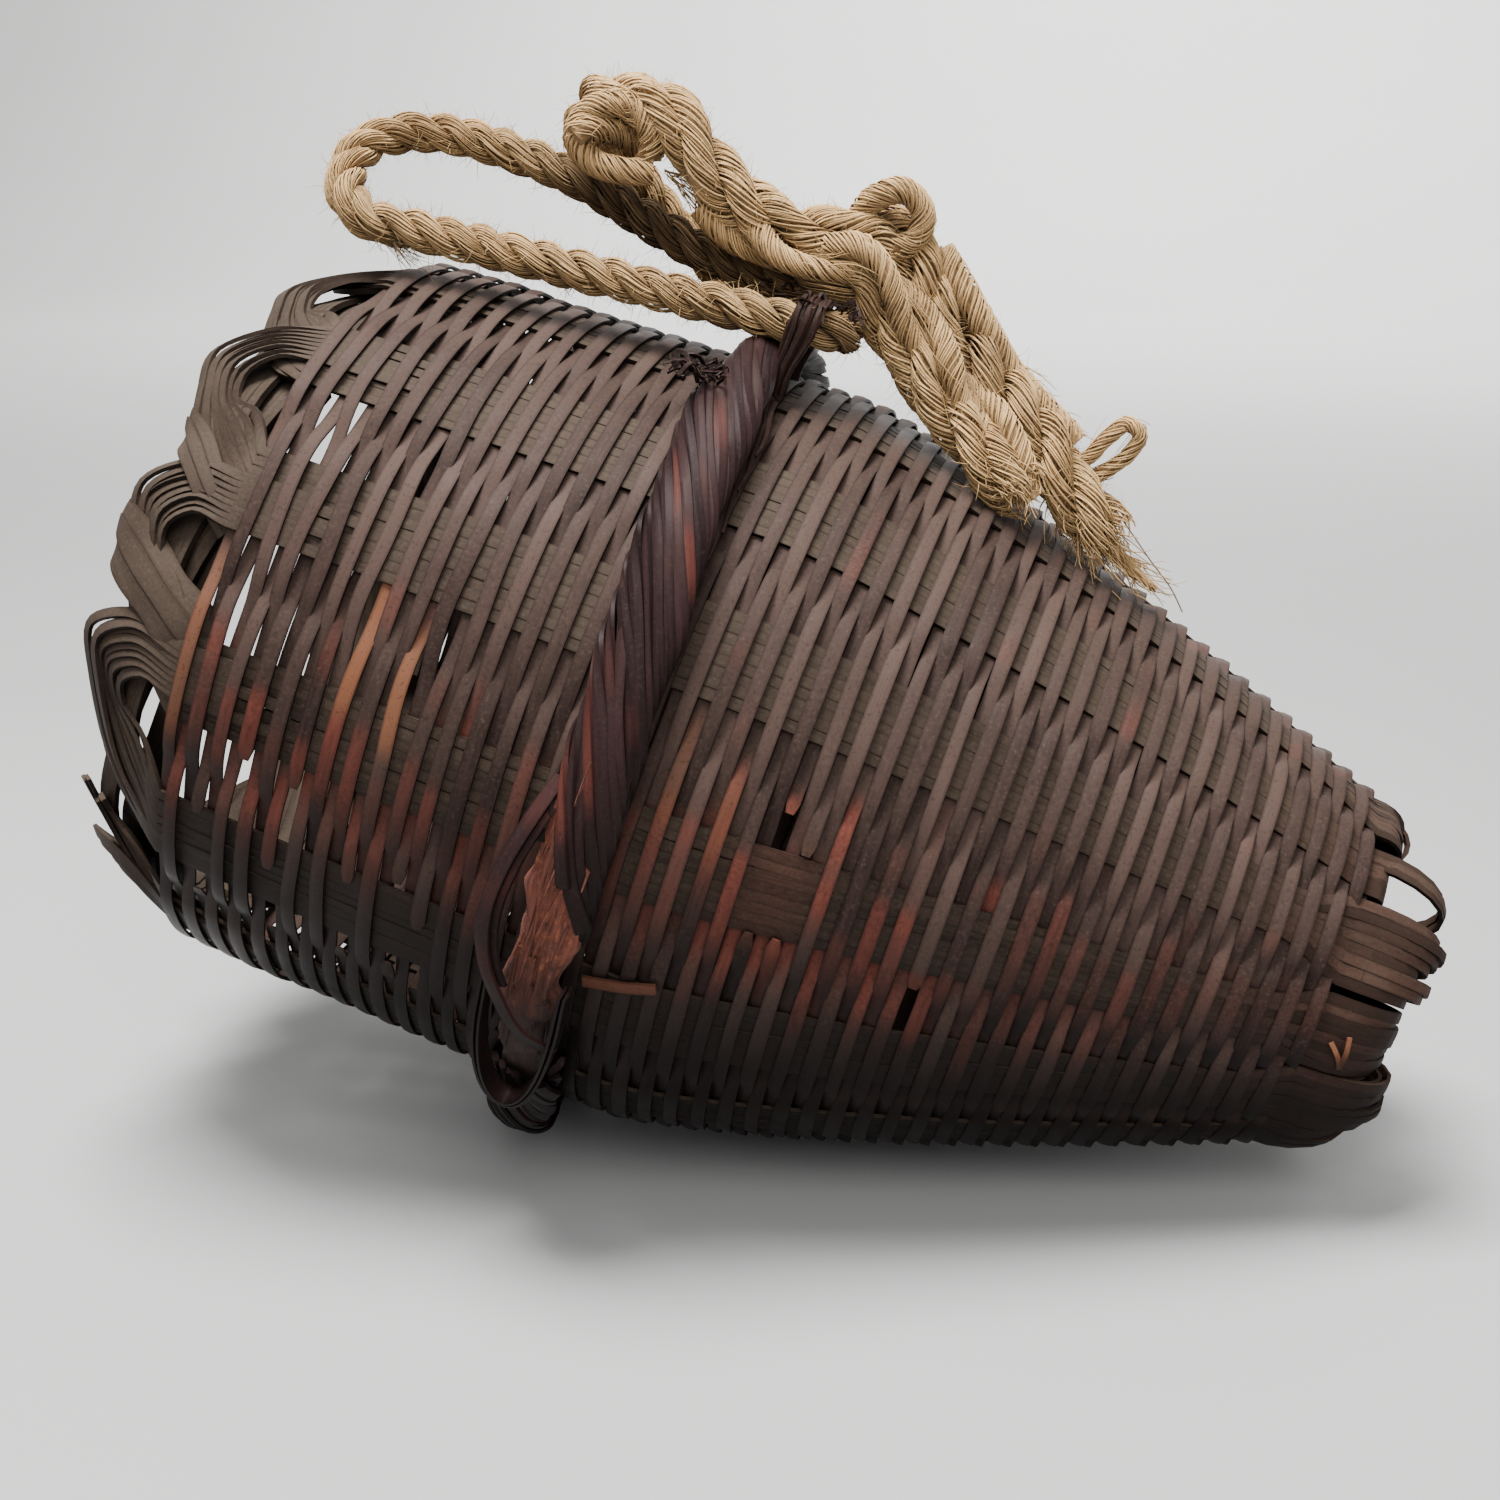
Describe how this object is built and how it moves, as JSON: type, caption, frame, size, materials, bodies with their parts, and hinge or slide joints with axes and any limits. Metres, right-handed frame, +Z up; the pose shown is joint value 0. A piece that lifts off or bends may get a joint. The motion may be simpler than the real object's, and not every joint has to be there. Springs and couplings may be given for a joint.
{
  "type": "woven basket",
  "caption": "Narrow-based woven bamboo creel lying on its side, with an arched open border, a twisted hoop round the belly and a natural-fibre rope sling.",
  "frame": {"origin": "middle of the basket's footprint, on the surface that it lies on, without the rope", "axes": "+X from the mouth to the base, +Z up, +Y to the side away from the hoop's broken stretch"},
  "size_m": [0.314, 0.2116, 0.2534],
  "materials": {
    "stake_bamboo": "dusty weathered split bamboo",
    "weaver_bamboo": "dark aged split bamboo with a dull sheen",
    "hoop_bamboo": "purple-brown aged bamboo with a dull sheen",
    "rotten_wood": "crumbling rust-red wood",
    "rope": "hairy three-strand natural fibre"
  },
  "bodies": {
    "basket": {"stake_01": "stake_bamboo", "stake_02": "stake_bamboo", "stake_03": "stake_bamboo", "stake_04": "stake_bamboo", "stake_05": "stake_bamboo", "stake_06": "stake_bamboo", "stake_07": "stake_bamboo", "stake_08": "stake_bamboo", "stake_09": "stake_bamboo", "stake_10": "stake_bamboo", "stake_11": "stake_bamboo", "stake_12": "stake_bamboo", "stake_13": "stake_bamboo", "stake_14": "stake_bamboo", "weavers_1": "weaver_bamboo", "weavers_2": "weaver_bamboo", "weavers_3": "weaver_bamboo", "weavers_4": "weaver_bamboo", "weavers_5": "weaver_bamboo", "weavers_6": "weaver_bamboo", "weavers_7": "weaver_bamboo", "weavers_8": "weaver_bamboo", "base_warps": "stake_bamboo", "base_wefts": "weaver_bamboo", "hoop_core": "rotten_wood", "hoop_front_strips": "hoop_bamboo", "hoop_back_strips": "hoop_bamboo", "hoop_loose_strip": "hoop_bamboo", "lower_becket": "hoop_bamboo", "rope_strap": "hoop_bamboo", "strap_tail": "hoop_bamboo"},
    "rope": {"rope_loop": "rope", "rope_tail": "rope"}
  },
  "joints": [
    {"name": "rope_swing", "type": "hinge", "parent": "basket", "child": "rope", "pos_m": [0.01824, -0.01393, 0.19969], "axis": [0.9766, 0, -0.2151], "range_deg": [0, 95]}
  ]
}
